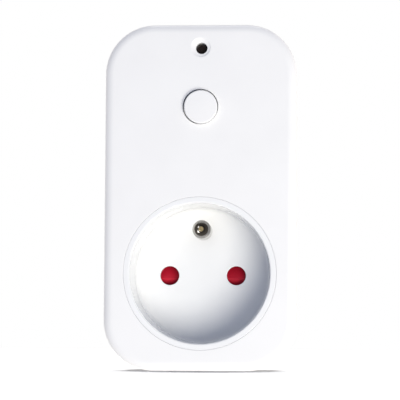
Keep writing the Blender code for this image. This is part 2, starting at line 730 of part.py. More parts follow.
def build_tact_switch():
    """The switch on the board: its body has a pocket in which the plunger sinks."""
    centre = (0, BUTTON_HEIGHT)
    half = 3.0 * MM
    plunger_radius = 1.7 * MM
    pocket_floor = FRONT_SEAT + 2 * MM
    body_z = (FRONT_SEAT, FRONT_SEAT + 3.5 * MM)
    body = soften(block((-half, half), (BUTTON_HEIGHT - half, BUTTON_HEIGHT + half), body_z), 0.3 * MM, 1)
    cut(body, rod(plunger_radius + 0.35 * MM, (pocket_floor, pocket_floor + 3 * MM), centre, 16))
    finish(body, "tact_switch_body", BLACK)
    spare = 0.1 * MM
    plunger = rod(plunger_radius, (pocket_floor + BUTTON_TRAVEL + spare, PLUNGER_TOP), centre, 14)
    finish(soften(plunger, 0.2 * MM, 1), "tact_switch_plunger", WIRE_BROWN)


def build_status_light():
    """A smoked lens whose nose fills the dished hole, its holder and the light on the board."""
    at = (0, LIGHT_HEIGHT, 0)
    head, head_front, head_back = 2.4 * MM, LIGHT_TUBE_END - GAP, 51.0 * MM
    stem, stem_back = 1.5 * MM, 48.2 * MM
    profile = [
        (0, LENS_NOSE_FRONT),
        (LENS_NOSE_RADIUS - 0.2 * MM, LENS_NOSE_FRONT),
        (LENS_NOSE_RADIUS, LENS_NOSE_FRONT - 0.2 * MM),
        (LENS_NOSE_RADIUS, head_front),
        (head, head_front),
        (head, head_back),
        (stem, head_back),
        (stem, stem_back),
        (0, stem_back),
    ]
    finish(turned(profile, 18, at), "status_lens", SMOKED)
    outer, inner, front = 2.7 * MM, 1.9 * MM, head_back - GAP
    ring = [(outer, front), (outer, FRONT_SEAT), (inner, FRONT_SEAT), (inner, front)]
    finish(turned(ring, 16, at, closed=True), "light_holder", BLACK)
    light_y = (LIGHT_HEIGHT - 0.6 * MM, LIGHT_HEIGHT + 0.6 * MM)
    light = block((-0.8 * MM, 0.8 * MM), light_y, (FRONT_SEAT, FRONT_SEAT + 1.1 * MM))
    finish(light, "status_light", LED_CLEAR)


# ------------------------------------------------------------------------------------------ the board

def build_main_board():
    outline = rounded_rectangle(BOARD_HALF_WIDTH, BOARD_BOTTOM, BOARD_TOP, 11 * MM, 2 * MM, 4)
    board = plate(outline, (BOARD_BACK, BOARD_FRONT))
    through = (40 * MM, 50 * MM)
    cut(board, *[rod(3.6 * MM, through, at, 16) for at in CASE_SCREWS[:2]])
    cut(board, *[rod(1.5 * MM, through, at, 12) for at in BOARD_SCREWS])
    finish(board, "main_board", BOARD_GREEN)
    head = REAR_SEAT
    profile = [
        (0, head + 6.2 * MM),
        (0.5 * MM, head + 6.2 * MM),
        (1.0 * MM, head + 5.2 * MM),
        (1.0 * MM, head),
        (2.2 * MM, head),
        (2.2 * MM, head - 0.9 * MM),
        (1.5 * MM, head - 1.6 * MM),
        (0, head - 1.6 * MM),
    ]
    for name, (x, y) in zip(("board_screw_right", "board_screw_left"), BOARD_SCREWS):
        finish(turned(profile, 12, (x, y, 0)), name, STEEL)


def boxed_component(name, look, x, y, height, edge=0.4, front=False):
    """A square-cornered component on the board; its sizes are in millimetres."""
    seat = (FRONT_SEAT, FRONT_SEAT + height * MM) if front else (REAR_SEAT - height * MM, REAR_SEAT)
    body = block([value * MM for value in x], [value * MM for value in y], seat)
    finish(soften(body, edge * MM, 1), name, look)


def round_component(name, look, x, y, radius, height, neck=0.0):
    """An upright round component; a neck pinches it above its foot. Sizes are in millimetres."""
    r = radius * MM
    top = REAR_SEAT
    end = REAR_SEAT - height * MM
    profile = [(0, top), (r, top)]
    if neck:
        pinch = r - neck * MM
        profile += [(r, top - 1.2 * MM), (pinch, top - 1.6 * MM)]
        profile += [(pinch, top - 2.2 * MM), (r, top - 2.6 * MM)]
    profile += [(r, end + 0.5 * MM), (r - 0.5 * MM, end), (0, end)]
    finish(turned(profile, 16, (x * MM, y * MM, 0)), name, look)


def build_components():
    boxed_component("relay", RELAY_BLUE, (-21.5, -2.5), (32, 47.3), 15.5, 0.6)
    boxed_component("interference_capacitor", CAPACITOR_YELLOW, (9, 22), (43, 49.5), 12.0, 0.6)
    boxed_component("bridge_rectifier", BLACK, (17, 21.5), (50.8, 55.5), 2.4, 0.2)
    boxed_component("supply_chip", BLACK, (17, 21), (36, 41), 1.6, 0.15)
    boxed_component("metering_chip", BLACK, (2, 12), (59.5, 63.5), 1.7, 0.15)
    boxed_component("radio_board", BOARD_GREEN, (-9, 9), (26, 41), 0.8, 0.1, front=True)
    round_component("smoothing_capacitor_1", CAPACITOR_BLACK, 3.6, 36.6, 4.0, 12.0, 0.4)
    round_component("smoothing_capacitor_2", CAPACITOR_BLACK, 3.6, 46.0, 3.15, 11.0, 0.35)
    round_component("filter_choke", BLACK, 12.4, 37.0, 3.8, 9.0, 1.2)
    round_component("fuse", BLACK, -1.5, 55.0, 4.2, 8.0)
    seat = FRONT_SEAT + 0.8 * MM + GAP
    can = block((-7.5 * MM, 7.5 * MM), (27 * MM, 36.5 * MM), (seat, seat + 2.2 * MM))
    finish(soften(can, 0.4 * MM, 1), "radio_shield", STEEL)
    disc = rod(4.6 * MM, (-2 * MM, 2 * MM), sides=16)
    disc.location = (-10 * MM, 54.2 * MM, 39.0 * MM)
    disc.rotation_euler.y = radians(90)
    finish(soften(disc, 1.0 * MM, 1), "varistor", VARISTOR_BLUE)
    path = [(51.5 * MM, REAR_SEAT), (51.5 * MM, 41.0 * MM), (57.5 * MM, 41.0 * MM), (57.5 * MM, REAR_SEAT)]
    finish(strip(path, 3.2 * MM, 0.8 * MM, 8.0 * MM), "shunt_resistor", MANGANIN)


def build_wires():
    """Insulated wires between the plug, the outlet and the board, each held at both ends."""
    radius = 1.2 * MM
    routes = (
        ("live_in_wire", WIRE_BROWN, [
            (9.5, -5.8, 14.5), (9.7, -6.0, 18.0), (12.0, -6.4, 21.0), (15.0, -4.0, 21.5), (16.0, 4, 21.6),
            (16.0, 17, 21.8), (15.2, 23, 24.5), (13.8, 27.5, 31), (13.5, 29, 38), (13.5, 29, 44.1),
        ]),
        ("neutral_wire", WIRE_BLUE, [
            (-9.5, -5.8, 14.5), (-9.7, -6.0, 18.0), (-12.0, -6.4, 21.0), (-15.0, -4.0, 21.5),
            (-16.0, 4, 21.6), (-16.0, 17, 21.8), (-15.2, 23, 24.5), (-13.8, 27.5, 31),
            (-13.5, 28.6, 38), (-13.5, 28.6, 44.1),
        ]),
        ("live_out_wire", WIRE_BLACK, [
            (9.6, -8.6, 21.1), (7.6, -8.0, 21.1), (5.4, -5.0, 21.1), (4.9, 0, 21.1), (4.9, 12, 21.1),
            (5.0, 19, 21.6), (5.2, 24.5, 25.5), (5.4, 28, 31), (5.4, 28.6, 38), (5.4, 28.6, 44.1),
        ]),
    )
    for name, look, route in routes:
        tube(name, smooth_route(route, 3.4 * MM), radius, look)


build_front_cover()
build_rear_cover()
build_case_screws()
build_outlet_insert()
build_earth_pin()
build_shutter()
build_shutter_spring()
build_contact_carrier()
build_contacts()
build_plug_pins()
build_pin_holder()
build_earthing()
build_button()
build_tact_switch()
build_status_light()
build_main_board()
build_components()
build_wires()
bpy.context.view_layer.update()
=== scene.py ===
"""The looks of the plug-in power meter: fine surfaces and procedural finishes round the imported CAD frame.

The frame stands upright: +X is to the right, the front faces -Y, the plug points along +Y and +Z is up.
Shapes are drawn as seen from the front, as (x, height, depth), where depth is the distance from the plug's
face towards the user, and to_world turns them into the frame's coordinates.
"""

import json
from math import atan2, ceil, cos, degrees, pi, radians, sin, tan

import bmesh
import bpy
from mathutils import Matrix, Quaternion, Vector


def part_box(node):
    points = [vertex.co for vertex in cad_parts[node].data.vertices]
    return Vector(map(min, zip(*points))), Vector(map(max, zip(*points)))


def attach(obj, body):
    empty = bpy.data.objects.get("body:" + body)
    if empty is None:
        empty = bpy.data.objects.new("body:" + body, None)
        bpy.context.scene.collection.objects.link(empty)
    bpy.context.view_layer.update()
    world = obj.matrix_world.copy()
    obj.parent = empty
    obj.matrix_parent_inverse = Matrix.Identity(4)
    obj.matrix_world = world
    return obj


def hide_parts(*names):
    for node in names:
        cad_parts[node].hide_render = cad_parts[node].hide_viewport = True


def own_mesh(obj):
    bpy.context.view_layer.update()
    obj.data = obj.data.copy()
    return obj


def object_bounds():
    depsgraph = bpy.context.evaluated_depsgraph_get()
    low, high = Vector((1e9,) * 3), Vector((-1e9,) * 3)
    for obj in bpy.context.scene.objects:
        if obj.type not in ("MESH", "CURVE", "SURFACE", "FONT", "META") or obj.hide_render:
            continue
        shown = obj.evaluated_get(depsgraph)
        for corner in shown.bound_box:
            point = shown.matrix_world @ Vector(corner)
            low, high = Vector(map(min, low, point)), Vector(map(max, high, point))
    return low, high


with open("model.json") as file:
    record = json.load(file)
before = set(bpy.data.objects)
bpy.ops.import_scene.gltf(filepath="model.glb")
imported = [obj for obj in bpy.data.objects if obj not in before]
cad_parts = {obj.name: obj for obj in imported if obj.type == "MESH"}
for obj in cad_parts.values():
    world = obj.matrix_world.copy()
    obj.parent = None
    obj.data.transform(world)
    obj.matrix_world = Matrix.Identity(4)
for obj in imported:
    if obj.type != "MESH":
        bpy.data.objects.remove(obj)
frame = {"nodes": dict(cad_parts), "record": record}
CAD_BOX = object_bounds()

MM = 0.001
NODES = frame["nodes"]
SLOT_OF_NODE = {part["node"]: part["material_slot"] for part in frame["record"]["subparts"]}


# --------------------------------------------------------------------------- sizes read from the frame

class Extent:
    """A CAD node's box in the drawing's own directions."""

    def __init__(self, node):
        low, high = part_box(node)
        self.right = high.x
        self.bottom, self.top = low.z, high.z
        self.back, self.front = -high.y, -low.y
        self.centre = ((low.x + high.x) / 2, (low.z + high.z) / 2)
        self.radius = (high.x - low.x) / 2


COVER = Extent("front_cover")
REAR = Extent("rear_cover")
INSERT = Extent("outlet_insert")
EARTH_PIN = Extent("earth_pin")
BUTTON = Extent("power_button")
LENS = Extent("status_lens")
SHUTTER = Extent("shutter")
SPRING = Extent("shutter_spring")
BRACKET = Extent("earth_bracket")
CASE_SCREWS = [Extent(f"case_screw_{number}") for number in range(1, 5)]
PLUG_PINS = [Extent(f"plug_pin_{side}") for side in ("neutral", "live")]

# Sizes that a node's box doesn't give. First the case: its walls, its levels and its outline.
GAP = 0.3 * MM
WALL = 2.0 * MM
INNER_INSET = WALL + 0.01 * MM
CORNER_RADIUS = 13.9 * MM
EDGE_ROUND = 2.4 * MM
FRONT_INSIDE = COVER.front - WALL
CASE_SPLIT = COVER.back
CASE_BACK = 17.0 * MM
REAR_INSIDE = CASE_BACK + WALL
LIP_DEPTH = 2.3 * MM

# The outlet: the seam round it, the cup and its holes.
RECESS_FLOOR = 40.0 * MM
SEAM_RADIUS = 21.2 * MM
INSERT_RADIUS = 20.9 * MM
RIM_RADIUS = 21.17 * MM
MOUTH_RADIUS = 19.5 * MM
FLOOR_RADIUS = 19.2 * MM
LIVE_HOLE_RADIUS = 2.7 * MM
LIVE_OFFSET = PLUG_PINS[1].centre[0]
PIN_RADIUS = 2.4 * MM
EARTH_PIN_RADIUS = 2.6 * MM

# The insert and the button each have a flange behind the front wall.
FLANGE_FRONT = FRONT_INSIDE - GAP
FLANGE_BACK = FLANGE_FRONT - 1.2 * MM

# The button and the status light; neither sits quite in the middle of its hole or dish.
BUTTON_RADIUS = 4.6 * MM
BUTTON_HOLE_RADIUS = 4.95 * MM
BUTTON_AT = (BUTTON.centre[0] + 0.16 * MM, BUTTON.centre[1] - 0.24 * MM)
LIGHT_HOLE_RADIUS = 1.62 * MM
LIGHT_HOLE_AT = (LENS.centre[0] + 0.25 * MM, LENS.centre[1] - 0.25 * MM)
LIGHT_DISH_RADIUS = 2.75 * MM
LIGHT_TUBE_END = COVER.front - 4.3 * MM
LENS_HEAD_RADIUS = 2.4 * MM
LENS_NOSE_RADIUS = 1.35 * MM

# The plug boss.
BOSS_RADIUS = 18.5 * MM
BOSS_INSIDE = 15.9 * MM
BOSS_FLOOR = 2.2 * MM
EARTH_HOLE_RADIUS = 3.2 * MM


# ----------------------------------------------------------------------------------------- mesh making

def to_world(point):
    """From (x, height, depth) to the frame's coordinates."""
    x, height, depth = point
    return (x, -depth, height)


def turn(count):
    """Equal steps of angle once round."""
    return [2 * pi * step / count for step in range(count)]


def circle(at, radius, depth, count=96):
    """A circle round an axis along the depth."""
    return [(at[0] + radius * cos(a), at[1] + radius * sin(a), depth) for a in turn(count)]


def case_outline(inset, depth, per_corner=20):
    """The case's round-cornered outline, moved inwards, anticlockwise from the right."""
    radius = CORNER_RADIUS - inset
    right = COVER.right - CORNER_RADIUS
    top = COVER.top - CORNER_RADIUS
    bottom = COVER.bottom + CORNER_RADIUS
    points = []
    for quarter, (x, y) in enumerate(((right, top), (-right, top), (-right, bottom), (right, bottom))):
        for step in range(per_corner + 1):
            angle = pi / 2 * (quarter + step / per_corner)
            points.append((x + radius * cos(angle), y + radius * sin(angle), depth))
    return points


def rounded(corners, step=10):
    """A profile through (across, depth, rounding) corners, with an arc at each rounded one.

    The step is the arc's angle between points, in degrees. A closed outline's corners may all be rounded;
    an open profile's two ends aren't."""
    points = []
    for index, (across, depth, rounding) in enumerate(corners):
        here = Vector((across, depth))
        if not rounding:
            points.append(here)
            continue
        back = (Vector(corners[index - 1][:2]) - here).normalized()
        ahead = (Vector(corners[(index + 1) % len(corners)][:2]) - here).normalized()
        half = back.angle(ahead) / 2
        centre = here + (back + ahead).normalized() * rounding / sin(half)
        start = here + back * rounding / tan(half) - centre
        end = here + ahead * rounding / tan(half) - centre
        first = atan2(start.y, start.x)
        sweep = (atan2(end.y, end.x) - first + pi) % (2 * pi) - pi
        count = max(2, ceil(abs(degrees(sweep)) / step))
        for part in range(count + 1):
            angle = first + sweep * part / count
            points.append(centre + rounding * Vector((cos(angle), sin(angle))))
    return points


class Builder:
    """A mesh put together from loops of points."""

    ON_AXIS = 1e-7

    def __init__(self):
        self.bm = bmesh.new()

    def loop(self, points):
        return [self.bm.verts.new(to_world(point)) for point in points]

    def skin(self, first, second):
        """Faces between two loops; either may be a single point."""
        count = max(len(first), len(second))
        for index in range(count):
            after = (index + 1) % count
            corners = [first[index % len(first)], first[after % len(first)]]
            corners += [second[after % len(second)], second[index % len(second)]]
            unique = list(dict.fromkeys(corners))
            if len(unique) > 2:
                self.bm.faces.new(unique)

    def stack(self, loops):
        """Skins a row of loops and returns the first and the last."""
        made = [self.loop(points) for points in loops]
        for first, second in zip(made, made[1:]):
            self.skin(first, second)
        return made[0], made[-1]

    def turned(self, corners, at, count=96):
        """A surface of revolution about an axis along the depth."""
        loops = []
        for radius, depth in rounded(corners):
            loops.append([(*at, depth)] if radius < self.ON_AXIS else circle(at, radius, depth, count))
        return self.stack(loops)

    def front_loops(self, profile, first_at, last_at, depth):
        """Circles of a profile whose axis moves from one place to another within this depth of the front."""
        loops = []
        for radius, level in profile:
            share = min(1.0, (COVER.front - level) / depth)
            at = [a + (b - a) * share for a, b in zip(first_at, last_at)]
            loops.append(circle(at, radius, level))
        return loops

    def walls(self, corners):
        """Walls that follow the case's outline; corners are (inset, depth, rounding)."""
        return self.stack([case_outline(inset, depth) for inset, depth in rounded(corners)])

    def extruded(self, section, half_width):
        """A closed section of (height, depth, rounding) corners, carried across from side to side."""
        points = rounded(section)
        ends = self.stack([[(side * half_width, *point) for point in points] for side in (-1, 1)])
        for end in ends:
            self.flat(end)

    def flat(self, *loops):
        """Fills the flat area between an outer loop and the loops of its holes."""
        edges = []
        for loop in loops:
            for first, second in zip(loop, loop[1:] + loop[:1]):
                edges.append(self.bm.edges.get((first, second)) or self.bm.edges.new((first, second)))
        bmesh.ops.triangle_fill(self.bm, use_beauty=True, edges=edges)

    def finish(self, name, look):
        """Makes the mesh a smooth-shaded object with one finish."""
        bmesh.ops.recalc_face_normals(self.bm, faces=self.bm.faces)
        mesh = bpy.data.meshes.new(name)
        self.bm.to_mesh(mesh)
        self.bm.free()
        obj = bpy.data.objects.new(name, mesh)
        bpy.context.scene.collection.objects.link(obj)
        mesh.materials.append(look)
        smooth(obj)
        return obj


def smooth(obj, angle=32):
    """Smooth shading that keeps real edges sharp and flat faces flat."""
    obj.data.shade_smooth()
    obj.data.set_sharp_from_angle(angle=radians(angle))
    normals = obj.modifiers.new("even_normals", "WEIGHTED_NORMAL")
    normals.keep_sharp = True
    normals.weight = 100


def rounded_block(x_range, y_range, z_range, rounding):
    """A block with round edges, used as a cutter; x, y and z are the drawing's x, height and depth."""
    bm = bmesh.new()
    bmesh.ops.create_cube(bm, size=1.0)
    size = [abs(high - low) for low, high in (x_range, y_range, z_range)]
    centre = [(high + low) / 2 for low, high in (x_range, y_range, z_range)]
    for vert in bm.verts:
        vert.co = to_world([centre[axis] + vert.co[axis] * size[axis] for axis in range(3)])
    if rounding:
        bmesh.ops.bevel(
            bm, geom=bm.edges[:], offset=rounding, segments=4, profile=0.5, affect="EDGES", clamp_overlap=True
        )
    bmesh.ops.recalc_face_normals(bm, faces=bm.faces)
    mesh = bpy.data.meshes.new("block")
    bm.to_mesh(mesh)
    bm.free()
    obj = bpy.data.objects.new("block", mesh)
    bpy.context.scene.collection.objects.link(obj)
    return obj


def carve(obj, cutters):
    """Cuts the cutters out of a piece and removes them."""
    obj.modifiers.clear()
    for cutter in cutters:
        change = obj.modifiers.new("carve", "BOOLEAN")
        change.operation = "DIFFERENCE"
        change.solver = "EXACT"
        change.object = cutter
    graph = bpy.context.evaluated_depsgraph_get()
    mesh = bpy.data.meshes.new_from_object(obj.evaluated_get(graph))
    obj.modifiers.clear()
    obj.data = mesh
    mesh.name = obj.name
    for cutter in cutters:
        bpy.data.objects.remove(cutter)
    smooth(obj)
    return obj


def stands_for(obj, node, body="root"):
    """The piece replaces a CAD node and rides on that node's body."""
    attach(obj, body)
    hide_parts(node)


# -------------------------------------------------------------------------------------------- finishes

class Finish:
    """A Principled material whose colour, gloss and relief come from noise in the object's own space."""

    def __init__(self, name, **sockets):
        self.material = bpy.data.materials.new(name)
        self.material.use_nodes = True
        self.tree = self.material.node_tree
        self.shader = self.tree.nodes["Principled BSDF"]
        for socket, value in sockets.items():
            self.shader.inputs[socket].default_value = value
        self.place = self.node("ShaderNodeTexCoord").outputs["Object"]
        self.normal = None

    def node(self, kind, **settings):
        made = self.tree.nodes.new(kind)
        for key, value in settings.items():
            setattr(made, key, value)
        return made

    def link(self, source, target):
        self.tree.links.new(source, target)

    def stretched(self, scale):
        """The object's space, stretched along its axes."""
        mapping = self.node("ShaderNodeMapping")
        mapping.inputs["Scale"].default_value = scale
        self.link(self.place, mapping.inputs["Vector"])
        return mapping.outputs["Vector"]

    def noise(self, size, detail=2.0, vector=None, roughness=0.5):
        """Noise whose features are about this size, in metres."""
        made = self.node("ShaderNodeTexNoise")
        made.inputs["Scale"].default_value = 1 / size
        made.inputs["Detail"].default_value = detail
        made.inputs["Roughness"].default_value = roughness
        self.link(vector or self.place, made.inputs["Vector"])
        return made.outputs["Fac"]

    def ramp(self, source, low, high, start=0.3, end=0.7):
        """Maps noise to a range of values."""
        made = self.node("ShaderNodeMapRange")
        made.inputs["From Min"].default_value = start
        made.inputs["From Max"].default_value = end
        made.inputs["To Min"].default_value = low
        made.inputs["To Max"].default_value = high
        self.link(source, made.inputs["Value"])
        return made.outputs["Result"]

    def colour(self, source, first, second):
        """The base colour runs between two colours."""
        mix = self.node("ShaderNodeMix", data_type="RGBA")
        mix.inputs["A"].default_value = (*first, 1)
        mix.inputs["B"].default_value = (*second, 1)
        self.link(source, mix.inputs["Factor"])
        self.link(mix.outputs["Result"], self.shader.inputs["Base Color"])
        return mix

    def gloss(self, source):
        """Drives the roughness."""
        self.link(source, self.shader.inputs["Roughness"])

    def relief(self, source, height):
        """Adds bumps of this height, in metres, over those that are there already."""
        bump = self.node("ShaderNodeBump")
        bump.inputs["Distance"].default_value = height
        self.link(source, bump.inputs["Height"])
        if self.normal:
            self.link(self.normal, bump.inputs["Normal"])
        self.normal = bump.outputs["Normal"]
        self.link(self.normal, self.shader.inputs["Normal"])


def shade(colour, factor):
    """The colour made lighter or darker."""
    return tuple(min(1.0, channel * factor) for channel in colour)


def moulded(name, colour, roughness, grain=0.22 * MM, height=0.0012 * MM, mottle=0.012, **sockets):
    """Moulded plastic: a fine spark-eroded grain over the faint flow of the moulding."""
    made = Finish(name, **sockets)
    slow = made.noise(14 * MM, detail=3)
    made.colour(made.ramp(slow, 0, 1), shade(colour, 1 - mottle), shade(colour, 1 + mottle))
    made.gloss(made.ramp(made.noise(5 * MM, detail=4), roughness * 0.9, roughness * 1.1))
    made.relief(made.noise(30 * MM, detail=1), height * 6)
    made.relief(made.noise(grain, detail=3), height)
    return made.material


def turned_metal(name, colour, roughness, at, marks=0.12 * MM, height=0.0008 * MM, spot=None):
    """Plated metal with the faint rings that a lathe leaves, and fine handling scratches."""
    made = Finish(name, Metallic=1.0)
    centred = made.node("ShaderNodeMapping")
    centred.inputs["Location"].default_value = (-at[0], 0, -at[1])
    made.link(made.place, centred.inputs["Vector"])
    flat = made.node("ShaderNodeVectorMath", operation="MULTIPLY")
    flat.inputs[1].default_value = (1, 0, 1)
    made.link(centred.outputs["Vector"], flat.inputs[0])
    radius = made.node("ShaderNodeVectorMath", operation="LENGTH")
    made.link(flat.outputs["Vector"], radius.inputs[0])
    split = made.node("ShaderNodeSeparateXYZ")
    made.link(centred.outputs["Vector"], split.inputs[0])
    rings = made.node("ShaderNodeCombineXYZ")
    made.link(radius.outputs["Value"], rings.inputs["X"])
    made.link(split.outputs["Y"], rings.inputs["Y"])
    tarnish = made.ramp(made.noise(1.6 * MM, detail=4), 0, 1)
    mix = made.colour(tarnish, shade(colour, 0.9), colour)
    gloss = made.ramp(made.noise(0.7 * MM, detail=5), roughness * 0.75, roughness * 1.4)
    made.gloss(gloss)
    made.relief(made.noise(marks, detail=2, vector=rings.outputs["Vector"]), height)
    made.relief(made.noise(0.5 * MM, detail=6, roughness=0.7), height)
    if spot:
        spot_radius, spot_colour = spot
        bare = made.ramp(radius.outputs["Value"], 1, 0, spot_radius * 0.85, spot_radius * 1.1)
        worn = made.node("ShaderNodeMix", data_type="RGBA")
        worn.inputs["B"].default_value = (*spot_colour, 1)
        made.link(mix.outputs["Result"], worn.inputs["A"])
        made.link(bare, worn.inputs["Factor"])
        made.link(worn.outputs["Result"], made.shader.inputs["Base Color"])
        dull = made.node("ShaderNodeMath", operation="MULTIPLY_ADD")
        dull.inputs[1].default_value = 0.35
        made.link(bare, dull.inputs[0])
        made.link(gloss, dull.inputs[2])
        made.gloss(dull.outputs["Value"])
    return made.material


def stamped_metal(name, colour, roughness, along=(1, 1, 0.04)):
    """Sheet metal with rolling marks along one direction."""
    made = Finish(name, Metallic=1.0)
    streaks = made.noise(0.15 * MM, detail=3, vector=made.stretched(along))
    made.colour(made.ramp(made.noise(2 * MM, detail=4), 0, 1), shade(colour, 0.88), shade(colour, 1.04))
    made.gloss(made.ramp(streaks, roughness * 0.7, roughness * 1.5))
    made.relief(streaks, 0.0015 * MM)
    return made.material


WHITE = (0.86, 0.865, 0.875)
CASE_WHITE = moulded("case_white_satin", WHITE, 0.34)
OUTLET_WHITE = moulded("outlet_white_gloss", (0.86, 0.872, 0.885), 0.04, height=0.00005 * MM)
NICKEL = (0.56, 0.54, 0.51)

SLOT_FINISHES = {
    "case_white": lambda: CASE_WHITE,
    "outlet_white": lambda: OUTLET_WHITE,
    "inner_white": lambda: moulded("inner_white_plain", (0.78, 0.78, 0.76), 0.5),
    "shutter_red": lambda: moulded(
        "shutter_red_satin", (0.56, 0.012, 0.035), 0.42, mottle=0.06, **{"Specular IOR Level": 0.25},
    ),
    "nickel": lambda: stamped_metal("nickel_sheet", NICKEL, 0.24),
    "brass": lambda: stamped_metal("brass_sheet", (0.72, 0.53, 0.26), 0.28),
    "zinc_steel": lambda: stamped_metal("zinc_steel_bright", (0.62, 0.63, 0.65), 0.34),
    "spring_steel": lambda: stamped_metal("spring_steel_wire", (0.50, 0.50, 0.52), 0.25),
    "smoked_lens": lambda: moulded("smoked_lens_polished", (0.016, 0.012, 0.012), 0.12, mottle=0.1),
    "black_plastic": lambda: moulded("black_plastic_plain", (0.03, 0.03, 0.035), 0.48, mottle=0.08),
    "board_green": lambda: moulded("board_solder_mask", (0.03, 0.20, 0.09), 0.38, mottle=0.12),
    "capacitor_yellow": lambda: moulded("film_capacitor_yellow", (0.80, 0.60, 0.10), 0.4, mottle=0.04),
    "capacitor_sleeve": lambda: moulded("capacitor_shrunk_sleeve", (0.04, 0.05, 0.09), 0.3, mottle=0.1),
    "relay_blue": lambda: moulded("relay_blue_case", (0.05, 0.16, 0.45), 0.4, mottle=0.05),
    "varistor_blue": lambda: moulded("varistor_dipped_coat", (0.06, 0.20, 0.50), 0.5, mottle=0.1),
    "manganin": lambda: stamped_metal("manganin_strip", (0.55, 0.40, 0.28), 0.35),
    "wire_brown": lambda: moulded("wire_brown_sleeve", (0.22, 0.09, 0.04), 0.45, mottle=0.06),
    "wire_blue": lambda: moulded("wire_blue_sleeve", (0.03, 0.14, 0.50), 0.45, mottle=0.06),
    "wire_black": lambda: moulded("wire_black_sleeve", (0.02, 0.02, 0.02), 0.45, mottle=0.1),
    "led_body": lambda: moulded("led_body_cast", (0.85, 0.84, 0.70), 0.3, mottle=0.05),
}
FINISHES = {slot: make() for slot, make in SLOT_FINISHES.items()}


# --------------------------------------------------------------------------------------------- the case

def build_front_cover():
    """The front shell: rounded face, seam, button hole, dished light hole, collar, tube and posts."""
    cover = Builder()
    lip_inset, lip_end = 1.0 * MM, CASE_SPLIT + LIP_DEPTH
    face_outer, inside_outer = cover.walls([
        (EDGE_ROUND + 0.4 * MM, COVER.front, 0),
        (0, COVER.front, EDGE_ROUND),
        (0, CASE_SPLIT, 0.15 * MM),
        (lip_inset, CASE_SPLIT, 0),
        (lip_inset, lip_end, 0),
        (INNER_INSET, lip_end, 0),
        (INNER_INSET, FRONT_INSIDE, 0.5 * MM),
        (INNER_INSET + 0.6 * MM, FRONT_INSIDE, 0),
    ])
    seam_face, seam_inside = cover.turned([
        (SEAM_RADIUS + 0.5 * MM, COVER.front, 0),
        (SEAM_RADIUS, COVER.front, 0.14 * MM),
        (SEAM_RADIUS, FRONT_INSIDE, 0.1 * MM),
        (SEAM_RADIUS + 0.5 * MM, FRONT_INSIDE, 0),
    ], (0, 0), 160)
    collar_inside, collar_outside, collar_end = 6.4 * MM, 7.6 * MM, 51.5 * MM
    button_face, button_inside = cover.turned([
        (BUTTON_HOLE_RADIUS + 0.5 * MM, COVER.front, 0),
        (BUTTON_HOLE_RADIUS, COVER.front, 0.06 * MM),
        (BUTTON_HOLE_RADIUS, FRONT_INSIDE, 0),
        (collar_inside, FRONT_INSIDE, 0),
        (collar_inside, collar_end, 0),
        (collar_outside, collar_end, 0),
        (collar_outside, FRONT_INSIDE, 0),
    ], BUTTON.centre)
    tube_outside = 3.0 * MM
    dish = cover.front_loops(rounded([
        (LIGHT_DISH_RADIUS + 0.6 * MM, COVER.front, 0),
        (LIGHT_DISH_RADIUS, COVER.front, 0.2 * MM),
        (LIGHT_DISH_RADIUS - 0.3 * MM, COVER.front - 0.2 * MM, 0.4 * MM),
        (LIGHT_HOLE_RADIUS, COVER.front - 0.42 * MM, 0.03 * MM),
        (LIGHT_HOLE_RADIUS, LIGHT_TUBE_END, 0),
        (tube_outside, LIGHT_TUBE_END, 0.1 * MM),
        (tube_outside, FRONT_INSIDE, 0),
    ]), LENS.centre, LIGHT_HOLE_AT, 0.3 * MM)
    light_face, light_inside = cover.stack(dish)
    posts = []
    post, bore, post_end, bore_end = 3.0 * MM, 1.55 * MM, CASE_SPLIT + 2 * GAP, 38 * MM
    for screw in CASE_SCREWS:
        posts.append(cover.turned([
            (post, FRONT_INSIDE, 0),
            (post, post_end, 0.1 * MM),
            (bore, post_end, 0),
            (bore, bore_end, 0),
            (0, bore_end, 0),
        ], screw.centre, 32)[0])
    post, bore, post_end, bore_end = 2.5 * MM, 1.3 * MM, 46.3 * MM, 52 * MM
    for node in ("board_screw_right", "board_screw_left"):
        posts.append(cover.turned([
            (post, FRONT_INSIDE, 0),
            (post, post_end, 0.1 * MM),
            (bore, post_end, 0),
            (bore, bore_end, 0),
            (0, bore_end, 0),
        ], Extent(node).centre, 28)[0])
    cover.flat(face_outer, seam_face, button_face, light_face)
    cover.flat(inside_outer, seam_inside, button_inside, light_inside, *posts)
    stands_for(cover.finish("front_cover_shell", CASE_WHITE), "front_cover")


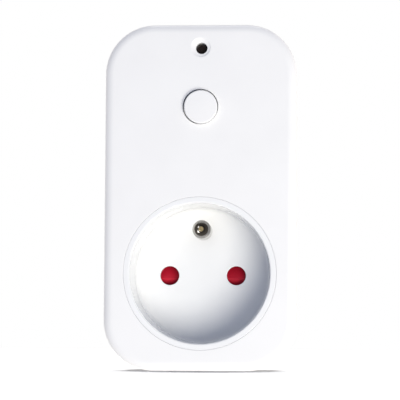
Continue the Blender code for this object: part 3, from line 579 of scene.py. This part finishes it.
def build_rear_cover():
    """The rear shell with the plug boss, its pin holes and grooves, and the sunk screw holes."""
    cover = Builder()
    rim = CASE_SPLIT - GAP
    lip_inset = 1.3 * MM
    back_outer, inside_outer = cover.walls([
        (EDGE_ROUND + 0.02 * MM, CASE_BACK, 0),
        (0, CASE_BACK, EDGE_ROUND),
        (0, rim, 0.15 * MM),
        (lip_inset, rim, 0),
        (lip_inset, REAR.front, 0.1 * MM),
        (INNER_INSET, REAR.front, 0.1 * MM),
        (INNER_INSET, REAR_INSIDE, 0.15 * MM),
        (INNER_INSET + 0.17 * MM, REAR_INSIDE, 0),
    ])
    boss_root, boss_face = cover.turned([
        (BOSS_RADIUS + 1.1 * MM, CASE_BACK, 0),
        (BOSS_RADIUS, CASE_BACK, 0.7 * MM),
        (BOSS_RADIUS, 0, 1.0 * MM),
        (BOSS_RADIUS - 1.5 * MM, 0, 0),
    ], (0, 0), 160)
    boss_floor, boss_open = cover.turned([
        (BOSS_INSIDE - 0.6 * MM, BOSS_FLOOR, 0),
        (BOSS_INSIDE, BOSS_FLOOR, 0.4 * MM),
        (BOSS_INSIDE, REAR_INSIDE, 0),
    ], (0, 0), 96)
    holes = [(pin.centre, PIN_RADIUS + GAP) for pin in PLUG_PINS]
    holes.append((EARTH_PIN.centre, EARTH_HOLE_RADIUS))
    face_holes, floor_holes = [], []
    for at, radius in holes:
        first, last = cover.turned([
            (radius + 0.5 * MM, 0, 0),
            (radius, 0, 0.25 * MM),
            (radius, BOSS_FLOOR, 0),
        ], at, 64)
        face_holes.append(first)
        floor_holes.append(last)
    back_screws, sleeves = [], []
    sink, shank_hole, sleeve, sleeve_end = 3.1 * MM, 1.7 * MM, 3.6 * MM, CASE_SPLIT + GAP
    for screw in CASE_SCREWS:
        seat = screw.back + 2.5 * MM
        first, last = cover.turned([
            (3.35 * MM, CASE_BACK, 0),
            (sink, CASE_BACK, 0.2 * MM),
            (sink, seat, 0.1 * MM),
            (shank_hole, seat, 0),
            (shank_hole, sleeve_end, 0),
            (sleeve, sleeve_end, 0.1 * MM),
            (sleeve, REAR_INSIDE, 0),
        ], screw.centre, 48)
        back_screws.append(first)
        sleeves.append(last)
    cover.flat(back_outer, boss_root, *back_screws)
    cover.flat(inside_outer, boss_open, *sleeves)
    cover.flat(boss_face, *face_holes)
    cover.flat(boss_floor, *floor_holes)
    shell = cover.finish("rear_cover_shell", CASE_WHITE)

    # A notch at each side of the boss; at its top and bottom, a groove for an earth contact and the slot
    # that the contact comes through.
    cutters = []
    outside, strip_end = 23 * MM, 16.1 * MM
    strip_x = (-3.3 * MM, 3.3 * MM)
    for side in (-1, 1):
        notch = sorted((side * (BOSS_RADIUS - 1.4 * MM), side * outside))
        cutters.append(rounded_block(notch, (-3 * MM, 3 * MM), (-4 * MM, 16.2 * MM), 0.5 * MM))
        groove = sorted((side * 17.35 * MM, side * outside))
        window = sorted((side * 14 * MM, side * 19 * MM))
        cutters.append(rounded_block(strip_x, groove, (1.3 * MM, strip_end), 0.25 * MM))
        cutters.append(rounded_block(strip_x, window, (14.7 * MM, strip_end), 0))
    stands_for(carve(shell, cutters), "rear_cover")


def build_case_screws():
    """Pan heads with a cross recess, deep in the rear cover's holes."""
    look = turned_metal("screw_zinc", (0.55, 0.56, 0.58), 0.3, CASE_SCREWS[0].centre)
    head, thread = 2.7 * MM, 1.25 * MM
    long, thin = 1.45 * MM, 0.32 * MM
    for number, screw in enumerate(CASE_SCREWS, 1):
        head_end = screw.back + 2.2 * MM
        made = Builder()
        made.turned([
            (0, screw.back, 0),
            (1.9 * MM, screw.back + 0.12 * MM, 0.8 * MM),
            (head, screw.back + 0.9 * MM, 0.5 * MM),
            (head, head_end, 0.1 * MM),
            (thread, head_end, 0),
            (thread, screw.front - 1.3 * MM, 0),
            (0.6 * MM, screw.front, 0),
            (0, screw.front, 0),
        ], screw.centre, 48)
        piece = made.finish(f"case_screw_{number}_detailed", look)
        x, y = screw.centre
        depth = (screw.back - 1 * MM, screw.back + 1.3 * MM)
        cutters = [
            rounded_block((x - long, x + long), (y - thin, y + thin), depth, 0.12 * MM),
            rounded_block((x - thin, x + thin), (y - long, y + long), depth, 0.12 * MM),
        ]
        stands_for(carve(piece, cutters), f"case_screw_{number}")


# ------------------------------------------------------------------------------------------- the outlet

def build_outlet_insert():
    """The glossy cup: rim, recess wall with a slight draft, floor with softened holes, and flange."""
    insert = Builder()
    back = INSERT.back
    floor_loop, back_loop = insert.turned([
        (FLOOR_RADIUS - 2.5 * MM, RECESS_FLOOR, 0),
        (FLOOR_RADIUS, RECESS_FLOOR, 1.2 * MM),
        (MOUTH_RADIUS, INSERT.front, 0.45 * MM),
        (RIM_RADIUS, INSERT.front, 0.14 * MM),
        (RIM_RADIUS, INSERT.front - 0.9 * MM, 0),
        (INSERT_RADIUS, INSERT.front - 1.1 * MM, 0),
        (INSERT_RADIUS, FLANGE_FRONT, 0),
        (INSERT.radius, FLANGE_FRONT, 0.1 * MM),
        (INSERT.radius, FLANGE_BACK, 0.1 * MM),
        (INSERT_RADIUS, FLANGE_BACK, 0),
        (INSERT_RADIUS, back, 0.4 * MM),
        (INSERT_RADIUS - 1.5 * MM, back, 0),
    ], (0, 0), 192)
    holes = [((side * LIVE_OFFSET, 0), LIVE_HOLE_RADIUS, 0.22 * MM) for side in (-1, 1)]
    holes.append((EARTH_PIN.centre, EARTH_PIN_RADIUS + 0.005 * MM, 0))
    floor_holes, back_holes = [], []
    for at, radius, edge in holes:
        first, last = insert.turned([
            (radius + 2 * edge + 0.1 * MM, RECESS_FLOOR, 0),
            (radius, RECESS_FLOOR, edge),
            (radius, back, 0),
        ], at, 80)
        floor_holes.append(first)
        back_holes.append(last)
    insert.flat(floor_loop, *floor_holes)
    insert.flat(back_loop, *back_holes)
    stands_for(insert.finish("outlet_insert_cup", OUTLET_WHITE), "outlet_insert")


def build_earth_pin():
    """A plated pin with a rounded tip; the lathe's nub at its middle is bare brass. Its nickel is much darker
    than the plug pins' nickel: painted shade for the dark surroundings it mirrors.
    """
    nub = 0.72 * MM
    # Painted shade: this nickel colour is about half as bright as NICKEL, so the pin reads dark, as if
    # mirroring dark surroundings.
    look = turned_metal(
        "earth_pin_nickel_painted_dark", (0.33, 0.315, 0.29), 0.1, EARTH_PIN.centre, spot=(nub, (0.62, 0.50, 0.28)),
    )
    tip = EARTH_PIN.front
    flange, flange_front, flange_back = 3.8 * MM, 36.6 * MM, 34.4 * MM
    stem, stem_end, rivet = 2.0 * MM, 23.7 * MM, 1.3 * MM
    pin = Builder()
    pin.turned([
        (0, tip - 0.06 * MM, 0),
        (0.2 * MM, tip - 0.04 * MM, 0.1 * MM),
        (0.5 * MM, tip, 0.3 * MM),
        (nub, tip - 0.05 * MM, 0.1 * MM),
        (1.1 * MM, tip - 0.08 * MM, 1.6 * MM),
        (2.0 * MM, tip - 0.32 * MM, 0.3 * MM),
        (EARTH_PIN_RADIUS, tip - 1.95 * MM, 0.6 * MM),
        (EARTH_PIN_RADIUS, flange_front, 0),
        (flange, flange_front, 0.2 * MM),
        (flange, flange_back, 0.2 * MM),
        (stem, flange_back, 0),
        (stem, stem_end, 0.1 * MM),
        (rivet, stem_end, 0),
        (rivet, EARTH_PIN.back, 0.3 * MM),
        (0, EARTH_PIN.back, 0),
    ], EARTH_PIN.centre, 80)
    stands_for(pin.finish("earth_pin_turned", look), "earth_pin")


def build_shutter():
    """The red slide: its section has a ridge just below the live holes' centres."""
    ridge, step, thin = -0.8 * MM, -5.0 * MM, SHUTTER.back + 1.1 * MM
    section = [
        (SHUTTER.bottom, SHUTTER.back, 0.2 * MM),
        (SHUTTER.bottom, thin, 0.3 * MM),
        (step, thin, 0.3 * MM),
        (ridge, SHUTTER.front, 0.25 * MM),
        (SHUTTER.top, SHUTTER.back + 0.8 * MM, 0.25 * MM),
        (SHUTTER.top, SHUTTER.back, 0.2 * MM),
    ]
    slide = Builder()
    slide.extruded(section, SHUTTER.right)
    stands_for(slide.finish("shutter_slide", FINISHES["shutter_red"]), "shutter", "shutter")


def build_shutter_spring():
    """A helix of round wire, built at rest; in the real outlet the shutter presses it together as it goes
    down.
    """
    wire = 0.2 * MM
    coil = 1.3 * MM
    turns, steps, sides = 5, 28, 10
    low, high = SPRING.bottom + wire, SPRING.top - wire
    depth = (SPRING.back + SPRING.front) / 2
    spring = Builder()
    loops = []
    for step in range(turns * steps + 1):
        share = step / (turns * steps)
        angle = 2 * pi * step / steps
        rise = low + (high - low) * share
        centre = Vector((coil * cos(angle), rise, depth + coil * sin(angle)))
        outward = Vector((cos(angle), 0, sin(angle)))
        upward = Vector((0, 1, 0))
        loops.append([centre + wire * (outward * cos(a) + upward * sin(a)) for a in turn(sides)])
    first, last = spring.stack(loops)
    spring.bm.faces.new(first)
    spring.bm.faces.new(last)
    piece = spring.finish("shutter_spring_coil", FINISHES["spring_steel"])
    stands_for(piece, "shutter_spring")
    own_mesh(piece)


def build_plug_pins():
    """Solid round pins with a shoulder and a softly rounded nose."""
    shoulder, shoulder_back, shoulder_front = 4.0 * MM, 2.5 * MM, 4.5 * MM
    stud, stud_end = 1.3 * MM, 11.7 * MM
    for side, pin in zip(("neutral", "live"), PLUG_PINS):
        look = turned_metal(f"plug_pin_{side}_nickel", NICKEL, 0.16, pin.centre)
        made = Builder()
        made.turned([
            (0, pin.back, 0),
            (PIN_RADIUS, pin.back, 1.5 * MM),
            (PIN_RADIUS, shoulder_back, 0),
            (shoulder, shoulder_back, 0.2 * MM),
            (shoulder, shoulder_front, 0.2 * MM),
            (PIN_RADIUS, shoulder_front, 0),
            (PIN_RADIUS, stud_end, 0.1 * MM),
            (stud, stud_end, 0),
            (stud, pin.front, 0.3 * MM),
            (0, pin.front, 0),
        ], pin.centre, 80)
        stands_for(made.finish(f"plug_pin_{side}_turned", look), f"plug_pin_{side}")


def build_earth_bracket():
    """The bent strip whose legs are the plug's side contacts, with rounded edges."""
    low = BRACKET.bottom
    thick = 0.8 * MM
    section = [
        (low, BRACKET.back, 0.15 * MM),
        (low, BRACKET.front, 0.9 * MM),
        (-low, BRACKET.front, 0.9 * MM),
        (-low, BRACKET.back, 0.15 * MM),
        (-low - thick, BRACKET.back, 0.15 * MM),
        (-low - thick, BRACKET.front - thick, 0.3 * MM),
        (low + thick, BRACKET.front - thick, 0.3 * MM),
        (low + thick, BRACKET.back, 0.15 * MM),
    ]
    strip = Builder()
    strip.extruded(section, BRACKET.right)
    stands_for(strip.finish("earth_bracket_strip", FINISHES["nickel"]), "earth_bracket")


# ------------------------------------------------------------------------------- the button and the light

def build_button():
    """The round cap with a soft edge, its flange and its stem."""
    button = Builder()
    stem = 1.9 * MM
    button.turned([
        (0, BUTTON.front, 0),
        (BUTTON_RADIUS, BUTTON.front, 0.28 * MM),
        (BUTTON_RADIUS, FLANGE_FRONT, 0),
        (BUTTON.radius, FLANGE_FRONT, 0.1 * MM),
        (BUTTON.radius, FLANGE_BACK, 0.1 * MM),
        (stem, FLANGE_BACK, 0),
        (stem, BUTTON.back, 0.2 * MM),
        (0, BUTTON.back, 0),
    ], BUTTON_AT, 128)
    stands_for(button.finish("power_button_cap", CASE_WHITE), "power_button", "button")


def build_status_lens():
    """The smoked lens: a nose in the dished hole, a head and a light guide."""
    lens = Builder()
    head_front, head_back, guide = LIGHT_TUBE_END - GAP, 51.0 * MM, 1.5 * MM
    lens.turned([
        (0, LENS.front, 0),
        (LENS_NOSE_RADIUS, LENS.front - 0.12 * MM, 0.15 * MM),
        (LENS_NOSE_RADIUS, head_front, 0),
        (LENS_HEAD_RADIUS, head_front, 0.15 * MM),
        (LENS_HEAD_RADIUS, head_back, 0.1 * MM),
        (guide, head_back, 0),
        (guide, LENS.back, 0.1 * MM),
        (0, LENS.back, 0),
    ], LIGHT_HOLE_AT, 64)
    stands_for(lens.finish("status_lens_smoked", FINISHES["smoked_lens"]), "status_lens")


def finish_cad_nodes():
    """Every CAD node takes the procedural finish of its slot."""
    for name, node in NODES.items():
        node.data.materials.clear()
        node.data.materials.append(FINISHES[SLOT_OF_NODE[name]])


# -------------------------------------------------------------------------------------------- the studio

def build_camera():
    """A long lens, a little to the right of the outlet's axis and near the floor, looking slightly up."""
    camera = bpy.data.objects.new("camera", bpy.data.cameras.new("camera"))
    bpy.context.scene.collection.objects.link(camera)
    camera.data.sensor_width = 36.0
    camera.data.lens = 163.2
    camera.data.clip_start = 0.05
    camera.location = (29.73 * MM, -556.46 * MM, -20.7 * MM)
    yaw, pitch, roll = radians(3.403), radians(4.679), radians(0.314)
    forward = Vector((-sin(yaw) * cos(pitch), cos(yaw) * cos(pitch), sin(pitch)))
    camera.rotation_mode = "QUATERNION"
    camera.rotation_quaternion = forward.to_track_quat("-Z", "Y") @ Quaternion((0, 0, 1), roll)
    bpy.context.scene.camera = camera


def build_floor():
    """A wide table of white paper that the object stands on; it gives the object neither light nor shade."""
    half_width = 6.0
    bm = bmesh.new()
    bmesh.ops.create_grid(bm, x_segments=8, y_segments=8, size=half_width)
    mesh = bpy.data.meshes.new("floor")
    bm.to_mesh(mesh)
    bm.free()
    floor = bpy.data.objects.new("floor", mesh)
    floor.location.z = CAD_BOX[0].z - 0.01 * MM
    bpy.context.scene.collection.objects.link(floor)
    paper = Finish("floor_paper")
    paper.colour(paper.ramp(paper.noise(0.4), 0, 1), (0.495, 0.495, 0.495), (0.505, 0.505, 0.505))
    paper.shader.inputs["Roughness"].default_value = 0.9
    paper.shader.inputs["Specular IOR Level"].default_value = 0.1
    mesh.materials.append(paper.material)
    floor.visible_diffuse = False
    floor.visible_glossy = False
    floor.visible_shadow = False
    return floor


def area_light(name, position, target, size, power, colour=(1, 1, 1)):
    """A round lamp that points at its target."""
    light = bpy.data.lights.new(name, "AREA")
    light.shape = "DISK"
    light.size = size
    light.energy = power
    light.color = colour
    obj = bpy.data.objects.new(name, light)
    obj.location = position
    obj.rotation_mode = "QUATERNION"
    obj.rotation_quaternion = (Vector(target) - Vector(position)).to_track_quat("-Z", "Y")
    bpy.context.scene.collection.objects.link(obj)
    return obj


def build_world():
    """A white studio: the camera sees white, and a dome that is brighter behind the object lights it.

    The dome's front is a dim blue, and a darker neutral where it is seen mirrored in the object."""
    world = bpy.data.worlds.new("studio")
    bpy.context.scene.world = world
    world.use_nodes = True
    tree = world.node_tree
    tree.nodes.clear()
    new = tree.nodes.new
    place = new("ShaderNodeTexCoord")
    slope = new("ShaderNodeVectorMath")
    slope.operation = "DOT_PRODUCT"
    slope.inputs[1].default_value = Vector((0, 0.985, -0.16)).normalized()
    level = new("ShaderNodeMapRange")
    level.inputs["From Min"].default_value = -1
    level.inputs["From Max"].default_value = 1
    mix = new("ShaderNodeMix")
    mix.data_type = "RGBA"
    mix.inputs["B"].default_value = (1.42, 1.34, 1.23, 1)
    dome = new("ShaderNodeBackground")
    backdrop = new("ShaderNodeBackground")
    backdrop.inputs["Color"].default_value = (1, 1, 1, 1)
    path = new("ShaderNodeLightPath")
    front = new("ShaderNodeMix")
    front.data_type = "RGBA"
    front.inputs["A"].default_value = (0.12, 0.17, 0.31, 1)
    front.inputs["B"].default_value = (0.05, 0.045, 0.04, 1)
    pick = new("ShaderNodeMixShader")
    output = new("ShaderNodeOutputWorld")
    tree.links.new(place.outputs["Generated"], slope.inputs[0])
    tree.links.new(slope.outputs["Value"], level.inputs["Value"])
    tree.links.new(path.outputs["Is Glossy Ray"], front.inputs["Factor"])
    tree.links.new(front.outputs["Result"], mix.inputs["A"])
    tree.links.new(level.outputs["Result"], mix.inputs["Factor"])
    tree.links.new(mix.outputs["Result"], dome.inputs["Color"])
    tree.links.new(path.outputs["Is Camera Ray"], pick.inputs["Fac"])
    tree.links.new(dome.outputs["Background"], pick.inputs[1])
    tree.links.new(backdrop.outputs["Background"], pick.inputs[2])
    tree.links.new(pick.outputs["Shader"], output.inputs["Surface"])


def linked(name, state, *objects):
    """A collection for light linking: only these objects, or all but these."""
    made = bpy.data.collections.new(name)
    for number, obj in enumerate(objects):
        made.objects.link(obj)
        made.collection_objects[number].light_linking.link_state = state
    return made


def build_lights(floor):
    """A large softbox in front at the lower right and a lamp over the top; they leave the floor out.

    The earth pin has two small lamps of its own, for its glints, and the floor has two suns from behind,
    whose shadows fall towards the front, one to each side."""
    centre = (0, CAD_BOX[0].y, 15 * MM)
    pin = bpy.data.objects["earth_pin_turned"]
    key = area_light(
        "key_softbox", (0.354, -0.923, -0.339), centre, size=0.62, power=9.5, colour=(1.0, 0.955, 0.855),
    )
    key.light_linking.receiver_collection = linked("all_but_floor_and_pin", "EXCLUDE", floor, pin)
    key.light_linking.blocker_collection = linked("all_but_pin", "EXCLUDE", pin)
    top = area_light("top_strip", (0, 0.3, 1.2), (0, -40 * MM, 60 * MM), size=0.6, power=2.2)
    top.light_linking.receiver_collection = linked("all_but_floor", "EXCLUDE", floor)
    pin_only = linked("pin_only", "INCLUDE", pin)
    for name, place, size, power in (
        ("left_glint", (-0.30, -0.94, -0.16), 0.2, 1.1),
        ("upper_glint", (-0.26, -0.95, 0.22), 0.1, 0.2),
    ):
        lamp = area_light(name, place, centre, size, power)
        lamp.light_linking.receiver_collection = pin_only

    floor_only = linked("floor_only", "INCLUDE", floor)
    for azimuth in (-32, 32):
        sun = bpy.data.lights.new("floor_light", "SUN")
        sun.energy = 5.3
        sun.angle = radians(24)
        lamp = bpy.data.objects.new("floor_light", sun)
        lamp.rotation_euler = (radians(-40), 0, radians(azimuth))
        bpy.context.scene.collection.objects.link(lamp)
        lamp.light_linking.receiver_collection = floor_only


finish_cad_nodes()
build_front_cover()
build_rear_cover()
build_case_screws()
build_outlet_insert()
build_earth_pin()
build_shutter()
build_shutter_spring()
build_plug_pins()
build_earth_bracket()
build_button()
build_status_lens()

build_camera()
build_world()
build_lights(build_floor())
bpy.context.scene.view_settings.view_transform = "Standard"
